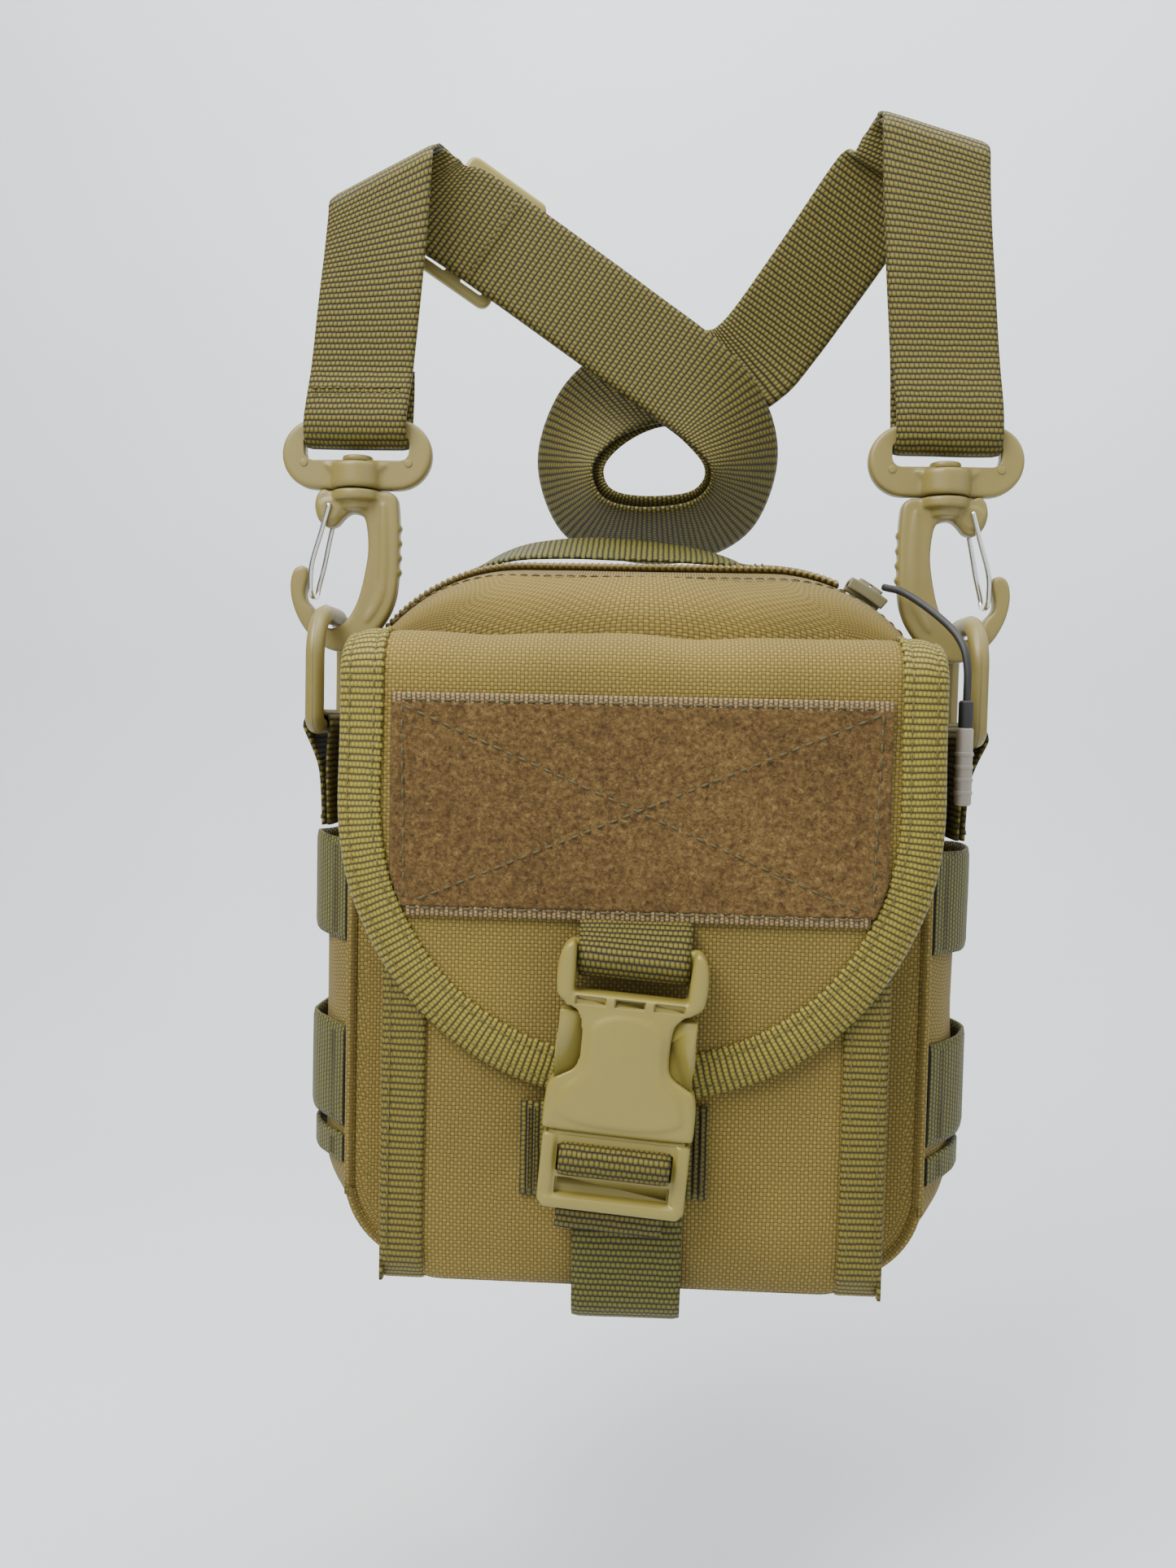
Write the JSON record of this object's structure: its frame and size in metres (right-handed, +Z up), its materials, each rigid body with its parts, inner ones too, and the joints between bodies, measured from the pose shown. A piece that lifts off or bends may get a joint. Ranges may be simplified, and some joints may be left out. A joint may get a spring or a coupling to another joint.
{
  "type": "sling bag",
  "caption": "Small sling bag with zipped main compartment, front pocket under a buckled flap, side webbing loops and a knotted shoulder strap on snap hooks.",
  "frame": {"origin": "centre of the flat rear face of the back panel, midway across the bag", "axes": "+X to the right seen from the front, -Y to the front (flap side), +Z up along the hanging strap"},
  "size_m": [0.186, 0.1007, 0.2915],
  "materials": {
    "body_fabric": "coated plain-weave nylon, olive brown",
    "webbing": "ribbed nylon webbing, olive green",
    "binding": "ribbed binding tape, olive green",
    "loop_pile": "fuzzy hook-and-loop pile, olive brown",
    "lining": "thin woven lining",
    "foam": "closed-cell foam, matt",
    "plastic": "moulded nylon, fine satin texture",
    "zipper_coil": "nylon coil",
    "slider_paint": "painted zinc",
    "gate_steel": "bright spring wire",
    "pull_black": "matt",
    "pull_grey": "soft moulded grip"
  },
  "bodies": {
    "bag": {"back_panel": "body_fabric", "side_gusset": "body_fabric", "top_gusset_rear": "body_fabric", "top_gusset_front": "body_fabric", "front_wall": "body_fabric", "edge_piping": "body_fabric", "pocket_front": "body_fabric", "pocket_gusset": "body_fabric", "back_lining": "lining", "zipper_tape_rear": "lining", "zipper_tape_front": "lining", "back_foam": "foam", "zipper_coil": "zipper_coil", "pocket_binding_left": "binding", "pocket_binding_right": "binding", "strap_keeper": "webbing", "lower_strap": "webbing", "grab_handle": "webbing", "strap_drop_left": "webbing", "strap_drop_right": "webbing", "strap_diagonal_left": "webbing", "strap_diagonal_right": "webbing", "strap_knot": "webbing", "side_webbing_upper_left": "webbing", "side_webbing_middle_left": "webbing", "side_webbing_lower_left": "webbing", "ring_tab_left": "webbing", "side_webbing_upper_right": "webbing", "side_webbing_middle_right": "webbing", "side_webbing_lower_right": "webbing", "ring_tab_right": "webbing"},
    "flap": {"flap_panel": "body_fabric", "flap_binding": "binding", "loop_panel": "loop_pile", "flap_strap": "webbing", "buckle_socket": "plastic"},
    "plug": {"buckle_plug": "plastic", "plug_webbing": "webbing"},
    "zip_slider": {"zipper_slider": "slider_paint"},
    "zip_pull": {"zipper_pull_cord": "pull_black", "zipper_pull_grip": "pull_grey"},
    "ladder_slider": {"strap_slider": "plastic"},
    "prong_left": {"buckle_prong_left": "plastic"},
    "d_ring_left": {"d_ring_left": "plastic"},
    "ring_left": {"strap_ring_left": "plastic"},
    "hook_left": {"snap_hook_left": "plastic"},
    "gate_left": {"gate_wire_left": "gate_steel"},
    "prong_right": {"buckle_prong_right": "plastic"},
    "d_ring_right": {"d_ring_right": "plastic"},
    "ring_right": {"strap_ring_right": "plastic"},
    "hook_right": {"snap_hook_right": "plastic"},
    "gate_right": {"gate_wire_right": "gate_steel"}
  },
  "joints": [
    {"name": "flap_hinge", "type": "hinge", "parent": "bag", "child": "flap", "pos_m": [0, -0.051, 0.0592], "axis": [-1, 0, 0], "range_deg": [0, 88]},
    {"name": "plug_release", "type": "slide", "parent": "flap", "child": "plug", "axis": [-0.0785, 0, -0.9969], "range_m": [0, 0.027]},
    {"name": "prong_flex_left", "type": "hinge", "parent": "plug", "child": "prong_left", "pos_m": [-0.00945, -0.0806, -0.04705], "axis": [0, 1, 0], "range_deg": [0, 8], "stiffness_Nm_per_rad": 0.02},
    {"name": "d_ring_swing_left", "type": "hinge", "parent": "bag", "child": "d_ring_left", "pos_m": [-0.0804, -0.031, 0.0375], "axis": [0, 1, 0], "range_deg": [-1, 2.5]},
    {"name": "ring_swing_left", "type": "hinge", "parent": "bag", "child": "ring_left", "pos_m": [-0.074, -0.031, 0.1125], "axis": [1, 0, 0], "range_deg": [-2, 2]},
    {"name": "hook_swivel_left", "type": "hinge", "parent": "ring_left", "child": "hook_left", "pos_m": [-0.074, -0.031, 0.0973], "axis": [0, 0, 1], "range_deg": [-8, 8]},
    {"name": "gate_open_left", "type": "hinge", "parent": "hook_left", "child": "gate_left", "pos_m": [-0.0806, -0.031, 0.0921], "axis": [0, -1, 0], "range_deg": [0, 20], "stiffness_Nm_per_rad": 0.01},
    {"name": "prong_flex_right", "type": "hinge", "parent": "plug", "child": "prong_right", "pos_m": [0.0041, -0.0806, -0.04811], "axis": [0, -1, 0], "range_deg": [0, 8], "stiffness_Nm_per_rad": 0.02},
    {"name": "d_ring_swing_right", "type": "hinge", "parent": "bag", "child": "d_ring_right", "pos_m": [0.0804, -0.031, 0.0375], "axis": [0, 1, 0], "range_deg": [-2.5, 1]},
    {"name": "ring_swing_right", "type": "hinge", "parent": "bag", "child": "ring_right", "pos_m": [0.074, -0.031, 0.1125], "axis": [1, 0, 0], "range_deg": [-2, 2]},
    {"name": "hook_swivel_right", "type": "hinge", "parent": "ring_right", "child": "hook_right", "pos_m": [0.074, -0.031, 0.0973], "axis": [0, 0, 1], "range_deg": [-8, 8]},
    {"name": "gate_open_right", "type": "hinge", "parent": "hook_right", "child": "gate_right", "pos_m": [0.0806, -0.031, 0.0921], "axis": [0, 1, 0], "range_deg": [0, 20], "stiffness_Nm_per_rad": 0.01},
    {"name": "zip_travel", "type": "hinge", "parent": "bag", "child": "zip_slider", "pos_m": [0.0305, -0.029, 0.034], "axis": [0, 1, 0], "range_deg": [-12, 0]},
    {"name": "pull_swing", "type": "hinge", "parent": "zip_slider", "child": "zip_pull", "pos_m": [0.0592, -0.0346, 0.0746], "axis": [0, 1, 0], "range_deg": [-3, 3], "stiffness_Nm_per_rad": 0.02},
    {"name": "ladder_slide", "type": "slide", "parent": "bag", "child": "ladder_slider", "axis": [0.8372, 0.1592, -0.5232], "range_m": [-0.003, 0.006]}
  ]
}
